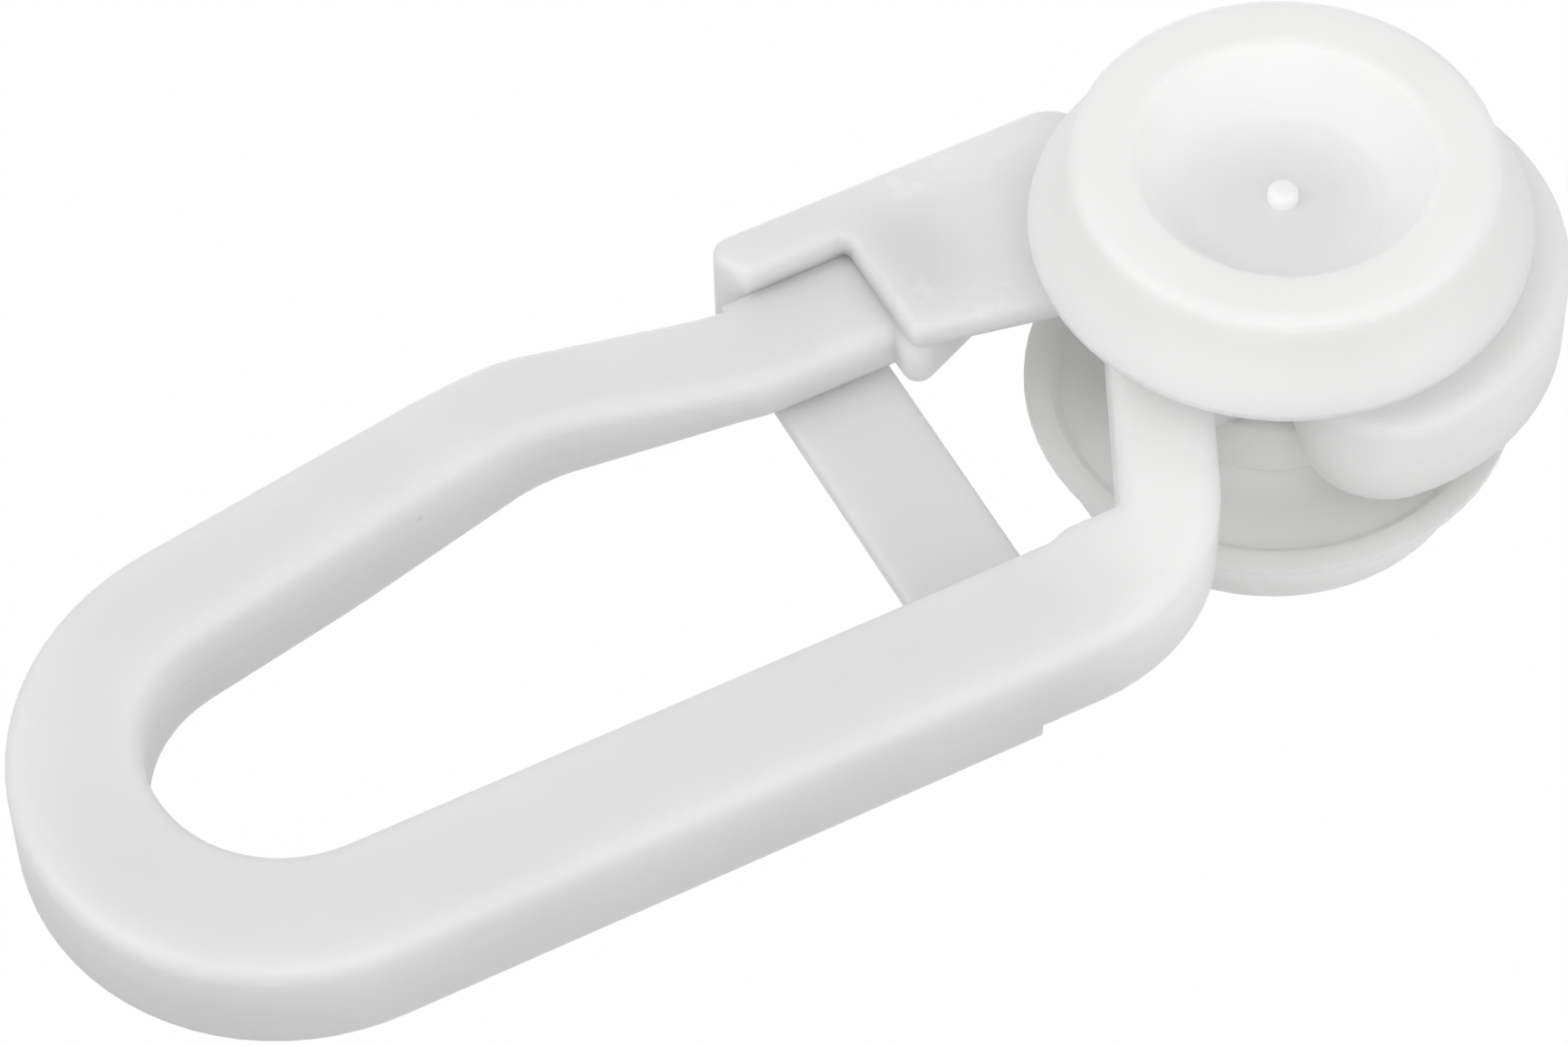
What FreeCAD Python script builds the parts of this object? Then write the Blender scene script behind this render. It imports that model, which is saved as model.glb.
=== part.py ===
import FreeCAD, Part
import math
import os

# Curtain glider: a click-open hook loop moulded in one piece with a head between two rollers.
# Frame: origin on the roller axis at the middle of the body's depth, +X along the rail, +Y along the
# roller axis towards the rear roller, +Z up. All lengths are in millimetres and all angles in degrees.

# Body depth on each side of its middle, measured along the roller axis
front_depth = 1.15
rear_depth = 1.15
edge_round = 0.33

# Plain bar and loop end
bar_reach = 6.32
bar_width = 2.63
loop_drop = 26.89
loop_end_slant = 0.57
loop_end_width = 2.6
loop_outer_bar_radius = 5.5
loop_outer_arm_radius = 5.9
loop_inner_bar_radius = 2.62
loop_inner_arm_radius = 2.75

# Hook arm
arm_root_outer_reach = 3.3
arm_root_inner_reach = 1.22
kink_reach = 5.18
kink_width = 1.97
kink_drop = 14.2
kink_radius = 4.0
front_taper_start_drop = 15.6
rear_taper_start_drop = 18.6
taper_end_drop = 10.2
taper_blend_radius = 10.0
tip_front_depth = 0.53
tip_rear_depth = 0.64
tip_width = 2.13
tip_drop = 5.05
tip_corner_radius = 0.45
nose_height = 0.84
nose_drop = 7.03
nose_length = 1.95
nose_tip_radius = 0.35

# Clip that catches the arm's tip
clip_reach = 5.65
clip_wall = 1.05
clip_bottom_drop = 9.66
clip_end_slant = 0.52
clip_top_drop = 1.45
clip_bottom_corner = 0.4
clip_top_corner = 0.9
clip_edge_round = 0.2
clip_side_gap = 0.06
clip_face_gap = 0.08
cap_bottom_drop = 6.93
cap_corner_reach = 1.8
cap_corner_radius = 0.25
window_corner_reach = 1.0
pocket_top_drop = 2.9
crossbar_top_drop = 7.0
crossbar_width = 2.42
crossbar_edge_round = 0.12

# Shoulder and neck
shoulder_angle = 26.0
shoulder_width = 1.9
shoulder_top_drop = 1.6
shoulder_outer_radius = 4.2
shoulder_inner_radius = 0.25
shoulder_inner_step = 0.15
shoulder_step_length = 0.3
shoulder_bottom_drop = 8.6
shoulder_rear_relief = 0.28
neck_half_width = 1.4

# Head
head_radius = 4.8
head_rise = 0.95
head_depth = 2.3
head_underside_drop = 0.2
head_underside_angle = 16.0
head_corner_radius = 1.6

# Rollers
roller_inner_face = 2.3
roller_outer_face = 4.22
roller_rim_radius = 4.81
roller_end_radius = 4.05
waist_radius = 4.25
waist_set_back = 0.75
waist_blend_radius = 2.5
rim_land = 0.14
end_edge_round = 0.3
dish_mouth_radius = 2.9
dish_floor_radius = 1.95
dish_depth = 1.2
dish_mouth_round = 0.25
dish_foot_round = 0.4
nib_radius = 0.3
nib_height = 0.32
nib_edge_round = 0.15
inner_recess_radius = 4.1
inner_recess_depth = 0.22
roller_hub_radius = 2.2
roller_side_play = 0.15

# Axle stubs and the rollers' bores
stub_radius = 1.2
stub_end = 2.55
bead_height = 0.16
bead_start = 2.2
bead_peak = 2.36
running_clearance = 0.05
bead_side_clearance = 0.06
bore_end_clearance = 0.08

# Overlap by which joined volumes of one moulding run into each other
overlap = 0.5
# Distance by which a cutting volume stands clear of what it cuts
cut_margin = 3.0

# Largest share of the axle direction in the normal of a face that counts as a side wall
side_wall_limit = 0.05

ALONG_AXLE = FreeCAD.Vector(0, 1, 0)
ORIGIN = FreeCAD.Vector(0, 0, 0)
FULL_TURN = 360


def side_point(x, z):
    """A point of a side view, drawn in the plane through the axle's middle."""
    return FreeCAD.Vector(x, 0, z)


def edge_point(y, z):
    """A point of an edge-on view, drawn in the plane that holds the axle."""
    return FreeCAD.Vector(0, y, z)


def rounded_outline(corners):
    """Closed face from (point, radius) corners, each rounding limited by the straight runs beside it."""
    count = len(corners)
    points = [point for point, radius in corners]
    directions = []
    wanted = []
    for index, (corner, radius) in enumerate(corners):
        back = (points[index - 1] - corner).normalize()
        ahead = (points[(index + 1) % count] - corner).normalize()
        directions.append((back, ahead))
        wanted.append(radius / math.tan(back.getAngle(ahead) / 2))

    starts = []
    ends = []
    edges = []
    for index, corner in enumerate(points):
        back, ahead = directions[index]
        tangent = wanted[index]
        for neighbour in (index - 1, (index + 1) % count):
            run = corner.distanceToPoint(points[neighbour])
            needed = wanted[index] + wanted[neighbour]
            if needed > run:
                tangent = min(tangent, wanted[index] * run / needed)
        starts.append(corner + back * tangent)
        ends.append(corner + ahead * tangent)
        if tangent > 0:
            half_angle = back.getAngle(ahead) / 2
            inward = (back + ahead).normalize()
            sagitta = tangent / math.cos(half_angle) - tangent * math.tan(half_angle)
            middle = corner + inward * sagitta
            edges.append(Part.Arc(starts[-1], middle, ends[-1]).toShape())
    for index in range(count):
        following = starts[(index + 1) % count]
        if ends[index].distanceToPoint(following) > Part.Precision.confusion():
            edges.append(Part.LineSegment(ends[index], following).toShape())
    return Part.Face(Part.Wire(Part.__sortEdges__(edges)))


def plate(corners, front, rear):
    """Outline of a side view given its depth along the axle."""
    face = rounded_outline(corners)
    face.translate(ALONG_AXLE * front)
    return face.extrude(ALONG_AXLE * (rear - front))


def is_side_wall(face):
    """True for a face that stands along the axle direction."""
    u_low, u_high, v_low, v_high = face.ParameterRange
    normal = face.normalAt((u_low + u_high) / 2, (v_low + v_high) / 2)
    return abs(normal.y) < side_wall_limit


def rounded_rim(solid, radius, skip_wall=None):
    """Round every long edge of a plate, except those of the walls that skip_wall picks."""
    chosen = []
    for face in solid.Faces:
        if not is_side_wall(face):
            continue
        if skip_wall is not None and skip_wall(face.BoundBox):
            continue
        for edge in face.Edges:
            start, end = edge.Vertexes[0].Point, edge.Vertexes[-1].Point
            if abs(end.y - start.y) < edge.Length / 2:
                chosen.append(edge)
    return solid.makeFillet(radius, chosen)


def shoulder_line(x, top_drop):
    """Height of a line that falls outwards at the shoulder's angle."""
    return -top_drop - x * math.tan(math.radians(shoulder_angle))


# Values shared by several features
bar_inner_reach = bar_reach - bar_width
shoulder_inner_drop = shoulder_top_drop + shoulder_width / math.cos(math.radians(shoulder_angle))
wall_inner_reach = clip_reach - clip_wall
tip_outer_reach = wall_inner_reach - clip_side_gap
tip_inner_reach = tip_outer_reach - tip_width
cap_inner_face = tip_front_depth + clip_face_gap
crossbar_inner_face = tip_rear_depth + clip_face_gap


def loop_corners():
    """Side view of the plain bar, loop end and hook arm as one bent bar."""
    bar_side_drop = loop_drop - loop_end_slant
    return [
        (side_point(bar_reach, -shoulder_bottom_drop), 0),
        (side_point(bar_reach, -bar_side_drop), loop_outer_bar_radius),
        (side_point(-arm_root_outer_reach, -loop_drop), loop_outer_arm_radius),
        (side_point(-kink_reach, -kink_drop), kink_radius),
        (side_point(-tip_outer_reach, -clip_bottom_drop), kink_radius),
        (side_point(-tip_outer_reach, -tip_drop), tip_corner_radius),
        (side_point(-tip_inner_reach, -tip_drop), tip_corner_radius),
        (side_point(-tip_inner_reach, -clip_bottom_drop), kink_radius),
        (side_point(-kink_reach + kink_width, -kink_drop), kink_radius),
        (side_point(-arm_root_inner_reach, -loop_drop + loop_end_width), loop_inner_arm_radius),
        (side_point(bar_inner_reach, -bar_side_drop + loop_end_width), loop_inner_bar_radius),
        (side_point(bar_inner_reach, -shoulder_bottom_drop), 0),
    ]


def shoulder_corners():
    """Side view of the shoulder from its end buried in the neck to its end on the plain bar."""
    buried = -overlap
    step_top_drop = crossbar_top_drop - shoulder_step_length
    upper_inner_reach = bar_inner_reach - shoulder_inner_step
    half_step = math.hypot(shoulder_step_length, shoulder_inner_step) / 2
    step_turn = math.atan2(shoulder_inner_step, shoulder_step_length)
    meeting_radius = half_step / math.tan(step_turn / 2)
    outer_corner = side_point(bar_reach, shoulder_line(bar_reach, shoulder_top_drop))
    inner_corner = side_point(upper_inner_reach, shoulder_line(upper_inner_reach, shoulder_inner_drop))
    return [
        (side_point(buried, shoulder_line(buried, shoulder_top_drop)), 0),
        (outer_corner, shoulder_outer_radius),
        (side_point(bar_reach, -shoulder_bottom_drop), 0),
        (side_point(bar_inner_reach, -shoulder_bottom_drop), 0),
        (side_point(bar_inner_reach, -crossbar_top_drop), meeting_radius),
        (side_point(upper_inner_reach, -step_top_drop), meeting_radius),
        (inner_corner, shoulder_inner_radius),
        (side_point(buried, shoulder_line(buried, shoulder_inner_drop)), 0),
    ]


def arm_relief(start_drop, face_depth, tip_depth, outwards):
    """Volume that thins the hook arm on one side, from the loop towards the tip."""
    outside = outwards * (face_depth + cut_margin)
    corners = [
        (edge_point(outside, -start_drop - cut_margin), 0),
        (edge_point(outwards * face_depth, -start_drop - cut_margin), 0),
        (edge_point(outwards * face_depth, -start_drop), taper_blend_radius),
        (edge_point(outwards * tip_depth, -taper_end_drop), taper_blend_radius),
        (edge_point(outwards * tip_depth, -tip_drop + cut_margin), 0),
        (edge_point(outside, -tip_drop + cut_margin), 0),
    ]
    face = rounded_outline(corners)
    reach = max(kink_reach, clip_reach) + cut_margin
    face.translate(FreeCAD.Vector(-reach, 0, 0))
    return face.extrude(FreeCAD.Vector(reach, 0, 0))


def make_nose():
    """Rounded catch on the inner side of the arm's tip, sloped towards the end."""
    root = -tip_inner_reach - overlap
    corners = [
        (side_point(root, -nose_drop), 0),
        (side_point(-tip_inner_reach + nose_height, -nose_drop), nose_tip_radius),
        (side_point(-tip_inner_reach, -nose_drop + nose_length), 0),
        (side_point(root, -nose_drop + nose_length), 0),
    ]
    nose = plate(corners, -tip_front_depth, tip_rear_depth)

    def is_rooted(box):
        return box.XMax < -tip_inner_reach + overlap / 10

    return rounded_rim(nose, edge_round, is_rooted)


def make_tip_edge():
    """Square outer front edge of the arm's tip, along the clip's back wall."""
    height = clip_bottom_drop - tip_drop - tip_corner_radius
    corner = FreeCAD.Vector(-tip_outer_reach, -tip_front_depth, -clip_bottom_drop)
    return Part.makeBox(2 * edge_round, tip_front_depth, height, corner)


def make_loop():
    """Plain bar, loop end and thinned hook arm with rounded edges."""
    loop = plate(loop_corners(), -front_depth, rear_depth)
    loop = loop.cut(arm_relief(front_taper_start_drop, front_depth, tip_front_depth, -1))
    loop = loop.cut(arm_relief(rear_taper_start_drop, rear_depth, tip_rear_depth, 1))

    def is_bar_end(box):
        return box.XMin > 0 and box.ZMin > -shoulder_bottom_drop - edge_round / 2

    return rounded_rim(loop, edge_round, is_bar_end)


def make_shoulder():
    """Inclined arm from the plain bar to the neck, shallower at the rear than the loop."""
    shoulder = plate(shoulder_corners(), -front_depth, rear_depth - shoulder_rear_relief)

    def is_joined_end(box):
        bar_end = box.ZMax < -shoulder_bottom_drop + edge_round / 2
        neck_end = box.XMax < 0
        return bar_end or neck_end

    return rounded_rim(shoulder, edge_round, is_joined_end)


def make_clip():
    """Back wall, cap and crown that hold the arm's tip, with a pocket open to the rear."""
    window_corner = shoulder_line(-window_corner_reach, shoulder_inner_drop)
    corners = [
        (side_point(-clip_reach, -clip_bottom_drop), clip_bottom_corner),
        (side_point(-clip_reach, -clip_top_drop), clip_top_corner),
        (side_point(0, -clip_top_drop), 0),
        (side_point(0, window_corner), 0),
        (side_point(-window_corner_reach, window_corner), 0),
        (side_point(-cap_corner_reach, -cap_bottom_drop), cap_corner_radius),
        (side_point(-wall_inner_reach, -cap_bottom_drop), cap_corner_radius),
        (side_point(-wall_inner_reach, -clip_bottom_drop + clip_end_slant), cap_corner_radius),
    ]
    block = plate(corners, -front_depth, rear_depth)

    def is_neck_wall(box):
        return box.XMax > -window_corner_reach + clip_edge_round

    block = rounded_rim(block, clip_edge_round, is_neck_wall)
    pocket_height = cap_bottom_drop - pocket_top_drop + cut_margin
    pocket_corner = FreeCAD.Vector(-wall_inner_reach, -cap_inner_face, -cap_bottom_drop - cut_margin)
    pocket = Part.makeBox(wall_inner_reach, cap_inner_face + rear_depth + cut_margin, pocket_height,
                          pocket_corner)
    return block.cut(pocket)


def make_crossbar():
    """Thin strip behind the arm, from the plain bar to the clip's back wall."""
    width = bar_inner_reach + wall_inner_reach + 2 * overlap
    depth = rear_depth - crossbar_inner_face
    bottom = -crossbar_top_drop - crossbar_width
    strip = Part.makeBox(width, depth, crossbar_width,
                         FreeCAD.Vector(-wall_inner_reach - overlap, crossbar_inner_face, bottom))
    long_edges = []
    for edge in strip.Edges:
        if edge.BoundBox.XLength > width / 2:
            long_edges.append(edge)
    return strip.makeFillet(crossbar_edge_round, long_edges)


def make_head():
    """D-shaped disc above the axle with a hollowed underside, and the neck below it."""
    half_depth = head_depth / 2
    centre = FreeCAD.Vector(0, -half_depth, head_rise)
    disc = Part.makeCylinder(head_radius, head_depth, centre, ALONG_AXLE)
    reach = head_radius + cut_margin
    rise = head_rise + reach
    fall = -head_underside_drop - reach * math.tan(math.radians(head_underside_angle))
    kept_corners = [
        (side_point(0, -head_underside_drop), 0),
        (side_point(reach, fall), 0),
        (side_point(reach, rise), 0),
        (side_point(-reach, rise), 0),
        (side_point(-reach, fall), 0),
    ]
    disc = disc.common(plate(kept_corners, -reach, reach))
    corner_edges = []
    for edge in disc.Edges:
        box = edge.BoundBox
        if box.YLength > half_depth and abs(box.XMin) > neck_half_width and box.ZMax < 0:
            corner_edges.append(edge)
    disc = disc.makeFillet(head_corner_radius, corner_edges)
    disc = rounded_rim(disc, edge_round)

    neck_bottom = shoulder_line(neck_half_width, shoulder_top_drop) - overlap
    neck_corners = [
        (side_point(-neck_half_width, neck_bottom), 0),
        (side_point(neck_half_width, neck_bottom), 0),
        (side_point(neck_half_width, 0), 0),
        (side_point(-neck_half_width, 0), 0),
    ]
    return disc.fuse(plate(neck_corners, -front_depth, rear_depth))


def turned(corners):
    """Solid of revolution about the axle from (radius, distance along the axle, rounding) corners."""
    points = []
    for radius, along, rounding in corners:
        points.append((FreeCAD.Vector(radius, along, 0), rounding))
    return rounded_outline(points).revolve(ORIGIN, ALONG_AXLE, FULL_TURN)


def make_stub():
    """Axle stub for the rear roller, with a snap bead and a tapered end."""
    bead_radius = stub_radius + bead_height
    return turned([
        (0, 0, 0),
        (stub_radius, 0, 0),
        (stub_radius, bead_start, 0),
        (bead_radius, bead_peak, 0),
        (stub_radius, stub_end, 0),
        (0, stub_end, 0),
    ])


def make_roller():
    """Rear roller: flared tread, dished outer face, inner hub and a blind bore with a snap groove."""
    bore_radius = stub_radius + running_clearance
    groove_radius = bore_radius + bead_height
    bore_end = stub_end + bore_end_clearance
    groove_start = bead_start - bead_side_clearance
    groove_peak = bead_peak - bead_side_clearance
    hub_face = head_depth / 2 + roller_side_play
    recess_face = roller_inner_face + inner_recess_depth
    dish_floor = roller_outer_face - dish_depth
    return turned([
        (bore_radius, hub_face, 0),
        (roller_hub_radius, hub_face, 0),
        (roller_hub_radius, recess_face, 0),
        (inner_recess_radius, recess_face, 0),
        (inner_recess_radius + inner_recess_depth, roller_inner_face, 0),
        (roller_rim_radius, roller_inner_face, 0),
        (roller_rim_radius, roller_inner_face + rim_land, 0),
        (waist_radius, roller_outer_face - waist_set_back, waist_blend_radius),
        (roller_end_radius, roller_outer_face, end_edge_round),
        (dish_mouth_radius, roller_outer_face, dish_mouth_round),
        (dish_floor_radius, dish_floor, dish_foot_round),
        (nib_radius, dish_floor, 0),
        (nib_radius, dish_floor + nib_height, nib_edge_round),
        (0, dish_floor + nib_height, 0),
        (0, bore_end, 0),
        (groove_radius, bore_end, 0),
        (groove_radius, groove_peak, 0),
        (bore_radius, groove_start, 0),
    ])


def front_of(solid):
    """Mirror image of a rear piece on the front side of the body."""
    return solid.mirror(ORIGIN, ALONG_AXLE)


def make_body():
    """The whole moulding: loop, hook arm, shoulder, clip, crossbar, head and both axle stubs."""
    rear_stub = make_stub()
    additions = [
        make_nose(),
        make_tip_edge(),
        make_shoulder(),
        make_clip(),
        make_crossbar(),
        make_head(),
        rear_stub,
        front_of(rear_stub),
    ]
    body = make_loop()
    for addition in additions:
        body = body.fuse(addition)
    return body.removeSplitter()


rear_roller = make_roller()
pieces = {
    "glider_body": make_body(),
    "front_roller": front_of(rear_roller),
    "rear_roller": rear_roller,
}

os.makedirs("parts", exist_ok=True)
for name, solid in pieces.items():
    solid.exportStep(os.path.join("parts", name + ".step"))
    print(name, "valid", solid.isValid(), "solids", len(solid.Solids), "volume", round(solid.Volume, 3))
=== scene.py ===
import bpy
from mathutils import Matrix, Vector


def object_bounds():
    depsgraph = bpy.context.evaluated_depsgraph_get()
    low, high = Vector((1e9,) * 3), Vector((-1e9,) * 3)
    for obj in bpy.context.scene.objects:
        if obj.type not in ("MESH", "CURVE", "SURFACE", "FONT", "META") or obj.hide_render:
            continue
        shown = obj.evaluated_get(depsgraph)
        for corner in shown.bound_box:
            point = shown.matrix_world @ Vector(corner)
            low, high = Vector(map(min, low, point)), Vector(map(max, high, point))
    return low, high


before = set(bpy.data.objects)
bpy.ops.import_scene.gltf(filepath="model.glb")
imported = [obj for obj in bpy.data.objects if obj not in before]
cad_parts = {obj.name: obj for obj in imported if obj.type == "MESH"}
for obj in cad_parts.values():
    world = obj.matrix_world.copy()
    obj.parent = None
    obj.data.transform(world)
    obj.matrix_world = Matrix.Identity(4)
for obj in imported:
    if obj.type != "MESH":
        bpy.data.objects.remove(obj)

cad_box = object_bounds()
scene = bpy.context.scene
scene.view_settings.view_transform = "Standard"

MM = 0.001
WHITE = (1.0, 1.0, 1.0, 1.0)
RISING = (0.0, 1.0)
FALLING = (1.0, 0.0)

# Photograph's camera in the row frame
CAMERA_PLACE = Vector((0.06464, -0.09341, -0.04278))
CAMERA_RIGHT = Vector((0.46256, 0.01551, 0.88645))
CAMERA_UP = Vector((-0.69855, -0.60932, 0.37517))
CAMERA_BACK = Vector((0.54595, -0.79277, -0.27102))
CAMERA_NEAR = 0.005
CAMERA_FAR = 10.0
SENSOR_WIDTH = 36.0
LENS = 143.92

# Lamps: name, shares of the photograph's right, up and viewer directions, power
LAMPS = (
    ("front", (0.05, -0.05, 1.0), 0.1),
    ("left", (-0.75, 0.3, 0.6), 0.105),
    ("right", (0.8, -0.2, 0.55), 0.065),
    ("back_top", (0.0, 0.75, -0.6), 0.05),
)
# Lamp behind the object, its direction in the row frame
REAR_LAMP = Vector((0.1, 1.0, 0.35)).normalized()
REAR_POWER = 0.02
LAMP_DISTANCE = 0.2
LAMP_SIZE = 0.16

# Room light behind the object and before it, and the floor
ROOM_BEHIND = 0.36
ROOM_BEFORE = 0.70
FLOOR_SIZE = 4.0
FLOOR_HEIGHT = -0.26
FLOOR_COLOUR = (0.86, 0.86, 0.86, 1.0)
FLOOR_ROUGHNESS = 0.9
FLOOR_LIFT = 0.4

# Milky white plastic: body from the loop to the head, rollers from the rim to the dish; the
# paler head and dish colours are painted light.
# The REAR share is painted shade, the share of the colour left at the rear; GLOW is the length
# of the scattering.
BODY_LOOP = (0.79, 0.79, 0.79)
# Paler colour toward the clip and head: painted light.
BODY_HEAD_PAINTED_LIGHT = (0.95, 0.95, 0.94)
BODY_REAR_SHADE = 0.92
BODY_ROUGHNESS = 0.42
BODY_GLOW = 1.3 * MM
ROLLER_RIM = (0.92, 0.92, 0.91)
# Paler colour inside the dish: painted light that lifts the dish's shade.
ROLLER_DISH_PAINTED_LIGHT = (0.97, 0.97, 0.96)
ROLLER_REAR_SHADE = 0.95
ROLLER_ROUGHNESS = 0.38
ROLLER_GLOW = 0.8 * MM
PLASTIC_IOR = 1.49
PLASTIC_SPECULAR = 0.4
SCATTER_RADIUS = (1.0, 1.0, 0.97)

# Heights, radii and depths between which the colour changes: painted light toward the head and
# in the dish, painted shade toward the rear
LOOP_TO_HEAD_PAINTED_LIGHT = (-9.0 * MM, -3.0 * MM)
RIM_TO_DISH_PAINTED_LIGHT = (3.1 * MM, 2.3 * MM)
FRONT_TO_REAR_SHADE = (-0.4 * MM, 1.0 * MM)

# Flow clouding: noise and the share of the colour that it leaves
HAZE_SCALE = 330.0
HAZE_DETAIL = 3.0
HAZE_NOISE = (0.25, 0.75)
HAZE_SHARE = (0.955, 1.0)

# Scuffs on front faces on the clip's side, scaled by the painted light toward the head: depth,
# side, patches and scratches
SCUFF = (0.99, 0.99, 0.99)
SCUFF_DEPTH = (-0.9 * MM, -1.1 * MM)
SCUFF_SIDE = (-0.5 * MM, -2.0 * MM)
PATCH_SCALE = 300.0
PATCH_DETAIL = 1.0
PATCH_NOISE = (0.44, 0.58)
SCRATCH_SCALE = 1700.0
SCRATCH_DETAIL = 2.0
SCRATCH_NOISE = (0.55, 0.66)
SCUFF_SHARE = (0.0, 0.8)
SCUFF_ROUGHNESS = (0.0, 0.15)

# Specks: cells, a dot's radius in its cell, which cells have one and how strong it is
SPECK = (0.45, 0.44, 0.42)
SPECK_SCALE = 420.0
SPECK_RADIUS = (0.015, 0.04)
SPECK_CELLS = (0.62, 0.66)
SPECK_SHARE = (0.0, 0.35)

# Skin: fine grain, and the mould's parting line at mid depth
GRAIN_SCALE = 5200.0
GRAIN_DETAIL = 2.0
GRAIN_NOISE = (0.3, 0.7)
GRAIN_SMOOTHER = 0.05
GRAIN_ROUGHER = 0.07
GRAIN_STRENGTH = 0.12
GRAIN_HEIGHT = 0.02 * MM
SEAM_REACH = (0.02 * MM, 0.07 * MM)
SEAM_STRENGTH = 0.25
SEAM_HEIGHT = 0.03 * MM

# Rear outer corner of the arm's tip, and the distances over which scattering returns
TIP_CORNER = (-0.0041, 0.0006, -0.0055)
TIP_REACH = (0.6 * MM, 1.1 * MM)


def make_camera():
    data = bpy.data.cameras.new("camera")
    data.sensor_fit = "HORIZONTAL"
    data.sensor_width = SENSOR_WIDTH
    data.lens = LENS
    data.clip_start = CAMERA_NEAR
    data.clip_end = CAMERA_FAR
    camera = bpy.data.objects.new("camera", data)
    scene.collection.objects.link(camera)
    turn = Matrix((CAMERA_RIGHT, CAMERA_UP, CAMERA_BACK)).transposed()
    camera.matrix_world = Matrix.Translation(CAMERA_PLACE) @ turn.to_4x4()
    scene.camera = camera


def towards(right, up, back):
    """Row-frame direction from shares of the photograph's right, up and viewer directions."""
    return (CAMERA_RIGHT * right + CAMERA_UP * up + CAMERA_BACK * back).normalized()


def make_light(name, direction, power):
    data = bpy.data.lights.new(name, "AREA")
    data.shape = "DISK"
    data.size = LAMP_SIZE
    data.energy = power
    light = bpy.data.objects.new(name, data)
    scene.collection.objects.link(light)
    centre = (cad_box[0] + cad_box[1]) / 2
    light.location = centre + direction * LAMP_DISTANCE
    light.rotation_euler = direction.to_track_quat("Z", "Y").to_euler()


def ramp(tree, value, source, target, smooth=False):
    """Socket that takes a value from one range to another and stays inside it."""
    node = tree.nodes.new("ShaderNodeMapRange")
    if smooth:
        node.interpolation_type = "SMOOTHSTEP"
    node.inputs["From Min"].default_value = source[0]
    node.inputs["From Max"].default_value = source[1]
    node.inputs["To Min"].default_value = target[0]
    node.inputs["To Max"].default_value = target[1]
    tree.links.new(value, node.inputs["Value"])
    return node.outputs["Result"]


def noise(tree, place, scale, detail):
    node = tree.nodes.new("ShaderNodeTexNoise")
    node.inputs["Scale"].default_value = scale
    node.inputs["Detail"].default_value = detail
    tree.links.new(place, node.inputs["Vector"])
    return node.outputs["Fac"]


def maths(tree, operation, *values):
    """Socket with the result of one operation on one or two sockets."""
    node = tree.nodes.new("ShaderNodeMath")
    node.operation = operation
    for index, value in enumerate(values):
        tree.links.new(value, node.inputs[index])
    return node.outputs["Value"]


def times(tree, first, second):
    return maths(tree, "MULTIPLY", first, second)


def along_axis(tree, place, axis):
    """Socket with a place's own X, Y or Z."""
    node = tree.nodes.new("ShaderNodeSeparateXYZ")
    tree.links.new(place, node.inputs["Vector"])
    return node.outputs[axis]


def blend_colour(tree, share, first, second):
    """Socket that goes from one colour to another; a colour is a socket or three numbers."""
    node = tree.nodes.new("ShaderNodeMix")
    node.data_type = "RGBA"
    tree.links.new(share, node.inputs["Factor"])
    for side, colour in (("A", first), ("B", second)):
        if isinstance(colour, tuple):
            node.inputs[side].default_value = (*colour, 1.0)
        else:
            tree.links.new(colour, node.inputs[side])
    return node.outputs["Result"]


def bump(tree, height, strength, distance):
    node = tree.nodes.new("ShaderNodeBump")
    node.inputs["Strength"].default_value = strength
    node.inputs["Distance"].default_value = distance
    tree.links.new(height, node.inputs["Height"])
    return node


def seen_ray(tree):
    """Socket that is 1 for what is seen directly, in a reflection or through a clear piece."""
    path = tree.nodes.new("ShaderNodeLightPath")
    seen = path.outputs["Is Camera Ray"]
    for kind in ("Is Glossy Ray", "Is Transmission Ray"):
        seen = maths(tree, "MAXIMUM", seen, path.outputs[kind])
    return seen


def make_world():
    """White backdrop, and room light that grows from behind the object to before it."""
    world = bpy.data.worlds.new("studio")
    scene.world = world
    world.use_nodes = True
    tree = world.node_tree
    tree.nodes.clear()
    backdrop = tree.nodes.new("ShaderNodeBackground")
    backdrop.inputs["Color"].default_value = WHITE
    backdrop.inputs["Strength"].default_value = 1.0

    room = tree.nodes.new("ShaderNodeBackground")
    room.inputs["Color"].default_value = WHITE
    direction = tree.nodes.new("ShaderNodeTexCoord").outputs["Generated"]
    depth = along_axis(tree, direction, "Y")
    level = ramp(tree, depth, (1.0, -1.0), (ROOM_BEHIND, ROOM_BEFORE))
    tree.links.new(level, room.inputs["Strength"])

    mix = tree.nodes.new("ShaderNodeMixShader")
    tree.links.new(seen_ray(tree), mix.inputs["Fac"])
    tree.links.new(room.outputs[0], mix.inputs[1])
    tree.links.new(backdrop.outputs[0], mix.inputs[2])
    output = tree.nodes.new("ShaderNodeOutputWorld")
    tree.links.new(mix.outputs[0], output.inputs["Surface"])


def make_material(name):
    material = bpy.data.materials.new(name)
    material.use_nodes = True
    return material


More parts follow.
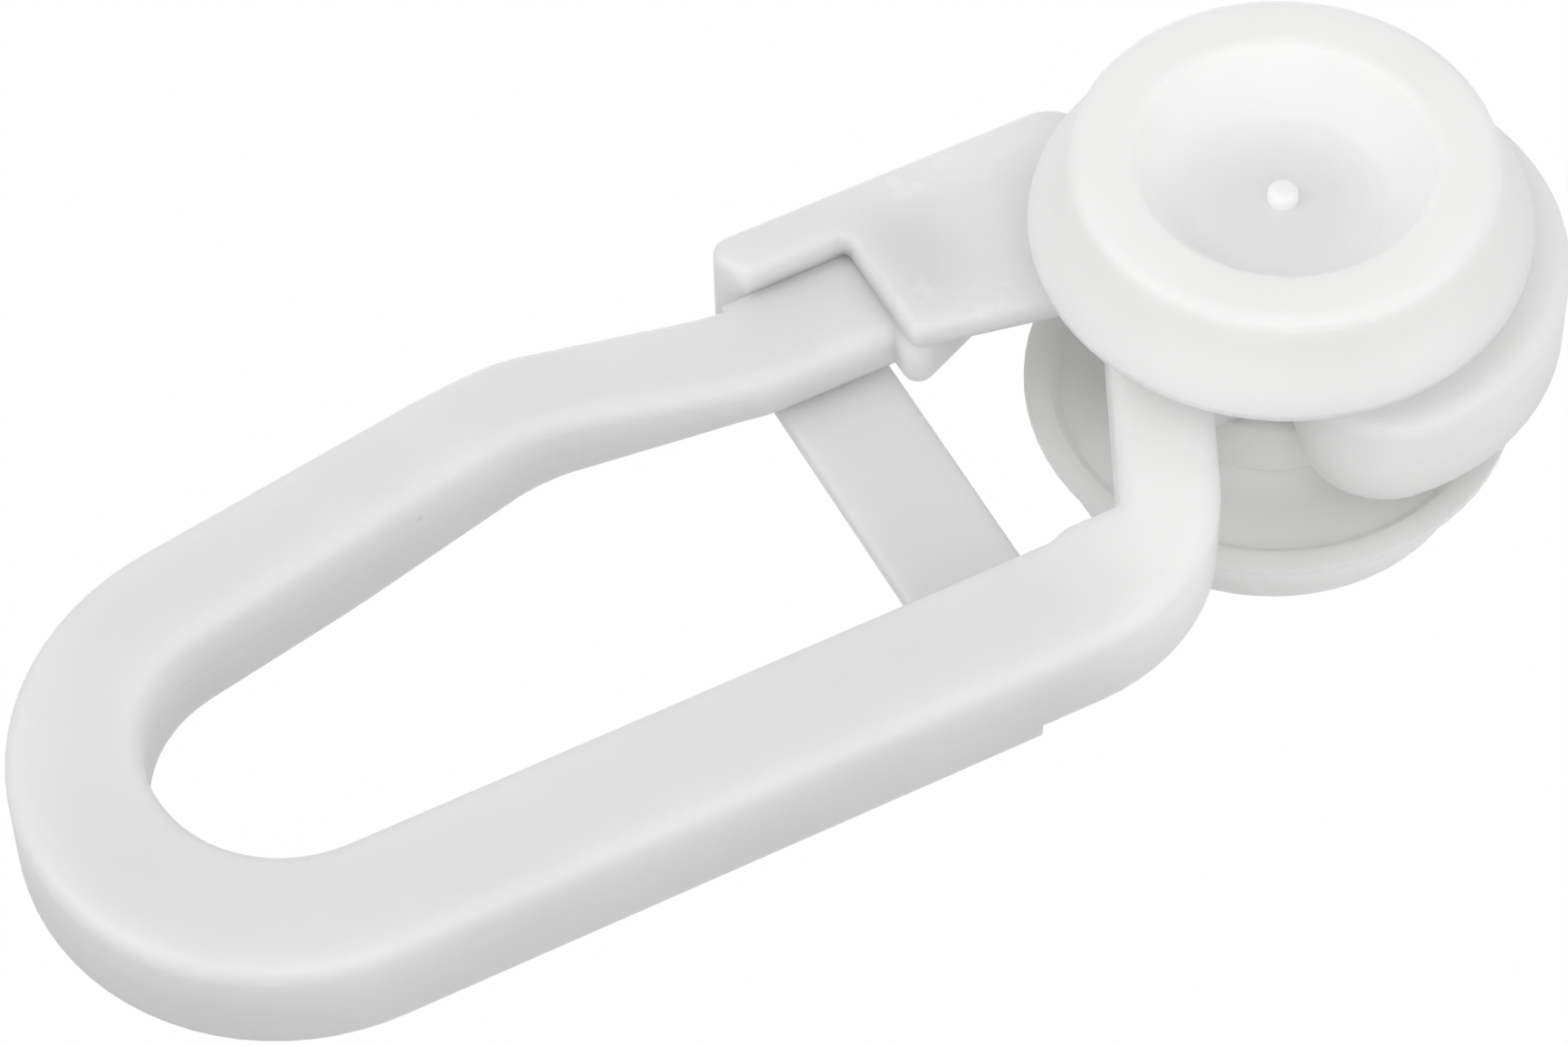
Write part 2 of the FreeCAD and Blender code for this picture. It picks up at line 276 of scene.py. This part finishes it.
def make_floor():
    """Pale matt floor that keeps shadows, lifted for the rays that see it."""
    bpy.ops.mesh.primitive_plane_add(size=FLOOR_SIZE, location=(0.0, 0.0, FLOOR_HEIGHT))
    floor = bpy.context.object
    floor.name = "floor"
    material = make_material("pale_floor")
    tree = material.node_tree
    matt = tree.nodes["Principled BSDF"]
    matt.inputs["Base Color"].default_value = FLOOR_COLOUR
    matt.inputs["Roughness"].default_value = FLOOR_ROUGHNESS
    lift = tree.nodes.new("ShaderNodeEmission")
    lift.inputs["Color"].default_value = WHITE
    strength = ramp(tree, seen_ray(tree), RISING, (0.0, FLOOR_LIFT))
    tree.links.new(strength, lift.inputs["Strength"])
    both = tree.nodes.new("ShaderNodeAddShader")
    tree.links.new(matt.outputs[0], both.inputs[0])
    tree.links.new(lift.outputs[0], both.inputs[1])
    tree.links.new(both.outputs[0], tree.nodes["Material Output"].inputs["Surface"])
    floor.data.materials.append(material)


def painted_light_to_head(tree, place):
    """Painted light: 0 in the hanging loop, rising to 1 at the clip and the head."""
    return ramp(tree, along_axis(tree, place, "Z"), LOOP_TO_HEAD_PAINTED_LIGHT, RISING, smooth=True)


def painted_light_in_dish(tree, place):
    """Painted light: 0 on a roller's rim, rising to 1 inside its dish, lifting the dish's
    shade.
    """
    flat = tree.nodes.new("ShaderNodeVectorMath")
    flat.operation = "MULTIPLY"
    flat.inputs[1].default_value = (1.0, 0.0, 1.0)
    tree.links.new(place, flat.inputs[0])
    reach = tree.nodes.new("ShaderNodeVectorMath")
    reach.operation = "LENGTH"
    tree.links.new(flat.outputs["Vector"], reach.inputs[0])
    return ramp(tree, reach.outputs["Value"], RIM_TO_DISH_PAINTED_LIGHT, RISING, smooth=True)


def scuff_mask(tree, place, share):
    """Scuffs in patches on front faces on the clip's side, scaled by the share of the painted
    light.
    """
    face = ramp(tree, along_axis(tree, place, "Y"), SCUFF_DEPTH, RISING)
    side = ramp(tree, along_axis(tree, place, "X"), SCUFF_SIDE, RISING)
    patches = ramp(tree, noise(tree, place, PATCH_SCALE, PATCH_DETAIL), PATCH_NOISE, RISING)
    fine = noise(tree, place, SCRATCH_SCALE, SCRATCH_DETAIL)
    scratches = ramp(tree, fine, SCRATCH_NOISE, SCUFF_SHARE)
    worn = times(tree, times(tree, times(tree, face, share), side), patches)
    return times(tree, worn, scratches)


def speck_mask(tree, place):
    """Small dots in a few of the cells."""
    cells = tree.nodes.new("ShaderNodeTexVoronoi")
    cells.inputs["Scale"].default_value = SPECK_SCALE
    tree.links.new(place, cells.inputs["Vector"])
    dot = ramp(tree, cells.outputs["Distance"], SPECK_RADIUS, FALLING)
    chosen = ramp(tree, cells.outputs["Color"], SPECK_CELLS, SPECK_SHARE)
    return times(tree, dot, chosen)


def milky_plastic(name, plain, pale, painted_light_fade, rear, roughness, glow):
    """Milky moulded plastic, paler where its fade paints light and darker to the rear as
    painted shade.

    Flow clouding, small scuffs and a few specks lie in its colour, a fine grain and the
    mould's parting line in its skin.
    """
    material = make_material(name)
    tree = material.node_tree
    shader = tree.nodes["Principled BSDF"]
    place = tree.nodes.new("ShaderNodeTexCoord").outputs["Object"]
    depth = along_axis(tree, place, "Y")

    # Painted light: the colour grows paler toward the head of the body and inside a roller's
    # dish.
    share = painted_light_fade(tree, place)
    painted_light_tint = blend_colour(tree, share, plain, pale)
    scuffs = scuff_mask(tree, place, share)
    scuffed = blend_colour(tree, scuffs, painted_light_tint, SCUFF)
    specked = blend_colour(tree, speck_mask(tree, place), scuffed, SPECK)

    haze = ramp(tree, noise(tree, place, HAZE_SCALE, HAZE_DETAIL), HAZE_NOISE, HAZE_SHARE)
    # Painted shade: the colour grows darker toward the rear.
    painted_rear_shade = ramp(tree, depth, FRONT_TO_REAR_SHADE, (1.0, rear))
    clouded = tree.nodes.new("ShaderNodeVectorMath")
    clouded.operation = "SCALE"
    tree.links.new(specked, clouded.inputs[0])
    tree.links.new(times(tree, haze, painted_rear_shade), clouded.inputs["Scale"])
    tree.links.new(clouded.outputs["Vector"], shader.inputs["Base Color"])

    grain = noise(tree, place, GRAIN_SCALE, GRAIN_DETAIL)
    spread = (roughness - GRAIN_SMOOTHER, roughness + GRAIN_ROUGHER)
    matt = ramp(tree, grain, GRAIN_NOISE, spread)
    rougher = ramp(tree, scuffs, SCUFF_SHARE, SCUFF_ROUGHNESS)
    tree.links.new(maths(tree, "ADD", matt, rougher), shader.inputs["Roughness"])

    line = ramp(tree, maths(tree, "ABSOLUTE", depth), SEAM_REACH, FALLING)
    seam = bump(tree, line, SEAM_STRENGTH, SEAM_HEIGHT)
    skin = bump(tree, grain, GRAIN_STRENGTH, GRAIN_HEIGHT)
    tree.links.new(seam.outputs["Normal"], skin.inputs["Normal"])
    tree.links.new(skin.outputs["Normal"], shader.inputs["Normal"])

    shader.inputs["IOR"].default_value = PLASTIC_IOR
    shader.inputs["Specular IOR Level"].default_value = PLASTIC_SPECULAR
    shader.inputs["Subsurface Weight"].default_value = 1.0
    shader.inputs["Subsurface Radius"].default_value = SCATTER_RADIUS
    shader.inputs["Subsurface Scale"].default_value = glow
    return material


def still_corner(material, centre, reach):
    """No scattering at a corner of the body where the solid has doubled faces inside.

    They lie under the corner's rounding and would show as a dark dot. The mesh keeps them.
    """
    tree = material.node_tree
    apart = tree.nodes.new("ShaderNodeVectorMath")
    apart.operation = "DISTANCE"
    apart.inputs[1].default_value = centre
    place = tree.nodes.new("ShaderNodeTexCoord").outputs["Object"]
    tree.links.new(place, apart.inputs[0])
    weight = ramp(tree, apart.outputs["Value"], reach, RISING, smooth=True)
    tree.links.new(weight, tree.nodes["Principled BSDF"].inputs["Subsurface Weight"])


make_camera()
make_world()
make_floor()
for lamp, shares, power in LAMPS:
    make_light(lamp, towards(*shares), power)
make_light("rear", REAR_LAMP, REAR_POWER)

body_plastic = milky_plastic(
    "body_plastic", BODY_LOOP, BODY_HEAD_PAINTED_LIGHT, painted_light_to_head, BODY_REAR_SHADE, BODY_ROUGHNESS, BODY_GLOW
)
still_corner(body_plastic, TIP_CORNER, TIP_REACH)
roller_plastic = milky_plastic(
    "roller_plastic",
    ROLLER_RIM,
    ROLLER_DISH_PAINTED_LIGHT,
    painted_light_in_dish,
    ROLLER_REAR_SHADE,
    ROLLER_ROUGHNESS,
    ROLLER_GLOW,
)
for node, material in (
    ("glider_body", body_plastic),
    ("front_roller", roller_plastic),
    ("rear_roller", roller_plastic),
):
    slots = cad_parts[node].data.materials
    slots.clear()
    slots.append(material)
